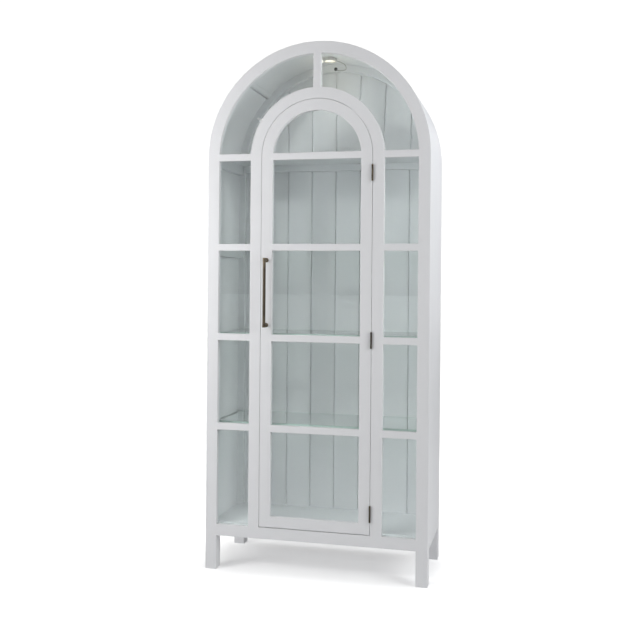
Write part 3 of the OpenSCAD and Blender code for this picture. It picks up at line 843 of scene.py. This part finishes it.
def pull_post(z):
    """Post with its rose. Its outer end is hollowed to sit against the collar."""
    rose, cone, grip, end = 0.003, 0.007, 0.012, PULL_Y - FRONT
    corners = [(0.0, grip, False), (SCREW_R, grip, False), (SCREW_R, 0.0, False), (0.009, 0.0, False),
               (0.009, rose, True), (0.0072, rose, True), (POST_R, cone, True), (POST_R, -end - 0.002, False),
               (POST_R * 0.7, -end, False), (POST_R * 0.4, -end, False), (0.0, -end, False)]
    profile, shares = rim(corners, 0.0008)
    verts, faces, weights = lathe(profile, (PULL_X, FRONT, z), (0, -1, 0), 40, shares)
    seat = FRONT - 0.02
    verts = [(x, PULL_Y + math.sqrt(COLLAR_R ** 2 - (x - PULL_X) ** 2), zz) if y < seat else (x, y, zz)
             for x, y, zz in verts]
    return verts, faces, weights


turned("pull_bar", [pull_bar()], BRONZE, "aged_bronze", "door")
turned("pull_posts", [pull_post(z) for z in PULL_ENDS], BRONZE, "aged_bronze", "door")
for z in PULL_ENDS:
    drill(left_stile, (PULL_X, FRONT, z), (0, 1, 0), SCREW_R, 0.03)

pins_lo, pins_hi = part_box("hinge_pins")
PIN_AT = ((pins_lo.x + pins_hi.x) / 2, (pins_lo.y + pins_hi.y) / 2)
PIN_HEAD_R, PIN_R, PIN_HEAD_H = (pins_hi.x - pins_lo.x) / 2, 0.0016, 0.0016
HINGE_HALF = 0.03175
HINGE_LEVELS = [pins_lo.z + PIN_HEAD_H + HINGE_HALF, LEVELS[2], pins_hi.z - PIN_HEAD_H - HINGE_HALF]


def hinge_pin(z):
    head = HINGE_HALF + PIN_HEAD_H
    half = [(PIN_R, 0.0, False), (PIN_R, HINGE_HALF, False), (PIN_HEAD_R, HINGE_HALF, False),
            (PIN_HEAD_R, head, True), (0.0, head, False)]
    profile, shares = rim(half, 0.001)
    points = [(r, -h) for r, h in reversed(profile[1:])] + profile
    return lathe(points, (*PIN_AT, z), (0, 0, 1), 32, shares[:0:-1] + shares)


turned("hinge_pins", [hinge_pin(z) for z in HINGE_LEVELS], BRONZE, "aged_bronze")

puck_lo, puck_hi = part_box("light_housing")
lens_lo, lens_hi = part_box("light_lens")
PUCK_AT = ((puck_lo.x + puck_hi.x) / 2, (puck_lo.y + puck_hi.y) / 2, puck_lo.z)
PUCK_R, PUCK_H = (puck_hi.x - puck_lo.x) / 2, puck_hi.z - puck_lo.z
LENS_R, LENS_BASE, LENS_TOP = (lens_hi.x - lens_lo.x) / 2, lens_lo.z - puck_lo.z, lens_hi.z - puck_lo.z


def puck():
    seat, room = LENS_R + 0.0001, LENS_TOP + 0.005
    profile, shares = rim([(0.0, PUCK_H, False), (PUCK_R, PUCK_H, True), (PUCK_R, 0.0, True),
                           (seat, 0.0, False), (seat, LENS_TOP, False), (0.02, LENS_TOP, False),
                           (0.02, room, False), (0.0, room, False)], 0.0016)
    return lathe(profile, PUCK_AT, (0, 0, 1), 72, shares)


def lens():
    dome = [(LENS_R * math.sin(t), LENS_BASE + 0.0006 * (1 - math.cos(t))) for t in
            (0.0, 0.25, 0.5, 0.8, 1.1)]
    side = [(LENS_R, LENS_BASE + 0.0005, True), (LENS_R, LENS_TOP, False), (0.0, LENS_TOP, False)]
    profile, shares = rim([(r, h, False) for r, h in dome] + side, 0.0004)
    return lathe(profile, PUCK_AT, (0, 0, 1), 72, shares)


turned("light_housing", [puck()], NICKEL, "satin_nickel")
turned("light_lens", [lens()], LENS_LOOK, "warm_lens")

grommet_lo, grommet_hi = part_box("lead_grommet")
OUTLET_Z = (grommet_lo.z + grommet_hi.z) / 2
GROMMET_R, GROMMET_BODY_R, GROMMET_T = (grommet_hi.x - grommet_lo.x) / 2, 0.0049, 0.002


def grommet():
    back = grommet_hi.y - trim_lo.y
    profile, shares = rim([(LEAD_D / 2, -GROMMET_T, True), (GROMMET_R, -GROMMET_T, True),
                           (GROMMET_R, 0.0, False), (GROMMET_BODY_R, 0.0, False),
                           (GROMMET_BODY_R, back, False), (LEAD_D / 2, back, False)], 0.0007)
    return lathe(profile, (0.0, trim_lo.y, OUTLET_Z), (0, 1, 0), 40, shares, loop=True)


turned("lead_grommet", [grommet()], RUBBER, "black_rubber")
drill(rear_trim_arch, (0.0, trim_lo.y, OUTLET_Z), (0, 1, 0), GROMMET_BODY_R + 0.0001, 0.04)
drill(rear_arch, (0.0, rear_hi.y, OUTLET_Z), (0, 1, 0), 0.006, 0.06)
drill(rear_arch, (0.0, rear_lo.y, OUTLET_Z), (0, 1, 0), 0.008, PANEL_T)

# ---------- CAD nodes that keep their shape ----------

keep("ceiling_battens", paint_y, 0.001)
keep("floor_panel fixed_shelf", paint_x, 0.0012)
keep("left_shelf_cleats right_shelf_cleats", paint_y, 0.0012)
keep("lower_back_panel upper_back_panel", paint_z)
keep("light_glass_beads door_glass_bead", paint_z)
keep("upper_glass_shelf middle_glass_shelf lower_glass_shelf", SHELF, 0.0008)
keep("left_light_glass right_light_glass left_arch_glass right_arch_glass door_glass", WINDOW)
keep("hinge_frame_leaves hinge_door_leaves", BRONZE, 0.0002)
keep("hinge_frame_screws hinge_door_screws", BRONZE)
keep("pull_screws catch_strike", ZINC, 0.0002)
keep("catch_body", PLASTIC, 0.0006)

# ---------- stage ----------

FLOOR_GLOW = 0.07   # light that the floor gives
AMBIENT = 0.01      # light that the studio's walls give
SURROUND = 0.35     # brightness of the studio in reflections
BACKDROP = 1.1      # brightness of the studio to the camera
FLOOR_PAINTED_SHADOW = 0.30  # painted shadow: brightness of the floor to the camera inside SHADE_BOX; it rises to BACKDROP over SHADE_REACH
SHADE_BOX = (0.36, 0.12, 0.0)  # half size, round the middle of the floor
SHADE_REACH = 0.34
FLOOR_HALF = 60.0   # half size of the floor
SMALL_LAMP = 0.5    # a lamp no wider than this isn't mirrored, because it would show as a spot in the panes
BULB_DROP = 0.06    # how far below the puck its light starts, so that it doesn't blot out the lens


def seen_directly(tree):
    """Two values: 1 where the camera looks itself, and 1 where it does or looks in a mirror or through glass.

    Both are 0 for light that lands on paint.
    """
    path = tree.nodes.new("ShaderNodeLightPath").outputs

    def maths(operation, a, b):
        node = tree.nodes.new("ShaderNodeMath")
        node.operation, node.use_clamp = operation, True
        tree.links.new(a, node.inputs[0])
        if isinstance(b, float):
            node.inputs[1].default_value = b
        else:
            tree.links.new(b, node.inputs[1])
        return node.outputs[0]

    bent = maths("ADD", path["Is Glossy Ray"], path["Is Transmission Ray"])
    first = maths("LESS_THAN", path["Diffuse Depth"], 0.5)
    return path["Is Camera Ray"], maths("ADD", path["Is Camera Ray"], maths("MULTIPLY", bent, first))


def make_stage():
    mesh = bpy.data.meshes.new("studio_floor")
    far = FLOOR_HALF
    mesh.from_pydata([(-far, -far, 0), (far, -far, 0), (far, far, 0), (-far, far, 0)], [], [(0, 1, 2, 3)])
    look = Look("studio_floor_look")
    look.set(Base_Color=(0.90, 0.90, 0.90, 1.0), Roughness=0.9)
    outward = look.node("ShaderNodeVectorMath", Vector=look.place)
    outward.operation = "ABSOLUTE"
    beyond = look.node("ShaderNodeVectorMath", Vector=outward.outputs["Vector"])
    beyond.operation = "SUBTRACT"
    beyond.inputs[1].default_value = SHADE_BOX
    clear = look.node("ShaderNodeVectorMath", Vector=beyond.outputs["Vector"])
    clear.operation = "MAXIMUM"
    distance = look.node("ShaderNodeVectorMath", Vector=clear.outputs["Vector"])
    distance.operation = "LENGTH"
    # Painted shadow under the cabinet: to the camera the floor glows dimmer round its middle and rises to
    # BACKDROP further out.
    seen = look.ramp(distance.outputs["Value"], 0.0, SHADE_REACH, FLOOR_PAINTED_SHADOW, BACKDROP)
    look.tree.nodes[-1].interpolation_type = "SMOOTHSTEP"
    camera, direct = seen_directly(look.tree)
    walls, glow = look.tree.nodes.new("ShaderNodeMix"), look.tree.nodes.new("ShaderNodeMix")
    look.feed(walls.inputs[0], camera)
    look.feed(walls.inputs[2], SURROUND)
    look.feed(walls.inputs[3], seen)
    look.feed(glow.inputs[0], direct)
    look.feed(glow.inputs[2], FLOOR_GLOW)
    look.feed(glow.inputs[3], walls.outputs[0])
    look.set(Emission_Color=(1.0, 1.0, 1.0, 1.0), Emission_Strength=glow.outputs[0])
    mesh.materials.append(look.mat)
    ob = bpy.data.objects.new("studio_floor", mesh)
    bpy.context.scene.collection.objects.link(ob)


def softbox(name, at, aim, size, power, colour):
    data = bpy.data.lights.new(name, "AREA")
    data.shape, data.size, data.size_y = "RECTANGLE", size[0], size[1]
    data.energy, data.color = power, colour
    ob = bpy.data.objects.new(name, data)
    ob.location = at
    ob.rotation_euler = (Vector(aim) - Vector(at)).to_track_quat("-Z", "Y").to_euler()
    ob.visible_glossy = size[0] > SMALL_LAMP
    bpy.context.scene.collection.objects.link(ob)


def make_world():
    """Dim light, but white to look at and in reflections, as in a studio with pale walls."""
    world = bpy.data.worlds.new("studio")
    bpy.context.scene.world = world
    world.use_nodes = True
    tree = world.node_tree
    light = tree.nodes["Background"]
    light.inputs["Color"].default_value = (0.97, 0.985, 1.0, 1.0)
    light.inputs["Strength"].default_value = AMBIENT
    seen = tree.nodes.new("ShaderNodeBackground")
    seen.inputs["Color"].default_value = (1.0, 1.0, 1.0, 1.0)
    walls = tree.nodes.new("ShaderNodeMix")
    camera, direct = seen_directly(tree)
    tree.links.new(camera, walls.inputs[0])
    walls.inputs[2].default_value, walls.inputs[3].default_value = SURROUND, BACKDROP
    tree.links.new(walls.outputs[0], seen.inputs["Strength"])
    mix = tree.nodes.new("ShaderNodeMixShader")
    tree.links.new(direct, mix.inputs[0])
    tree.links.new(light.outputs[0], mix.inputs[1])
    tree.links.new(seen.outputs[0], mix.inputs[2])
    tree.links.new(mix.outputs[0], tree.nodes["World Output"].inputs["Surface"])


def puck_bulb(at, power, colour):
    data = bpy.data.lights.new("puck_bulb", "POINT")
    data.shadow_soft_size, data.energy, data.color = 0.012, power, colour
    ob = bpy.data.objects.new("puck_bulb", data)
    ob.location = at
    ob.visible_camera = ob.visible_transmission = ob.visible_glossy = False
    bpy.context.scene.collection.objects.link(ob)


make_stage()
make_world()
for lamp in (
    ("left_low", (-1.9, -1.6, 1.2), (0.0, 0.0, 1.2), (1.0, 1.0), 15.4, (1.0, 1.0, 1.0)),
    ("left_high", (-1.5, -1.3, 1.6), (0.0, 0.0, 1.5), (0.9, 0.9), 10.4, (1.0, 1.0, 1.0)),
    ("key", (-1.25, -2.4, 2.5), (-0.1, 0.0, 1.1), (0.3, 0.3), 11.0, (1.0, 1.0, 1.0)),
    ("right_high", (2.2, 0.0, 2.6), (0.4, 0.0, 1.6), (1.2, 1.2), 12.0, (0.96, 1.0, 1.05)),
    ("right_near", (1.6, 0.2, 2.2), (0.4, 0.0, 1.8), (1.0, 1.0), 3.0, (0.96, 1.0, 1.05)),
    ("right_front", (2.6, -1.2, 2.0), (0.3, 0.0, 1.5), (1.2, 1.2), 37.5, (1.0, 1.0, 1.0)),
    ("back", (0.0, 2.8, 1.6), (0.0, 0.0, 1.1), (1.6, 1.6), 12.0, (1.0, 1.0, 1.0)),
    ("above", (0.0, 0.3, 4.6), (0.0, 0.3, 2.1), (1.4, 1.4), 14.0, (1.0, 1.0, 1.0)),
):
    softbox(*lamp)
puck_bulb((PUCK_AT[0], PUCK_AT[1], PUCK_AT[2] - BULB_DROP), 0.10, (1.0, 0.94, 0.74))
bpy.context.scene.view_settings.view_transform = "Standard"
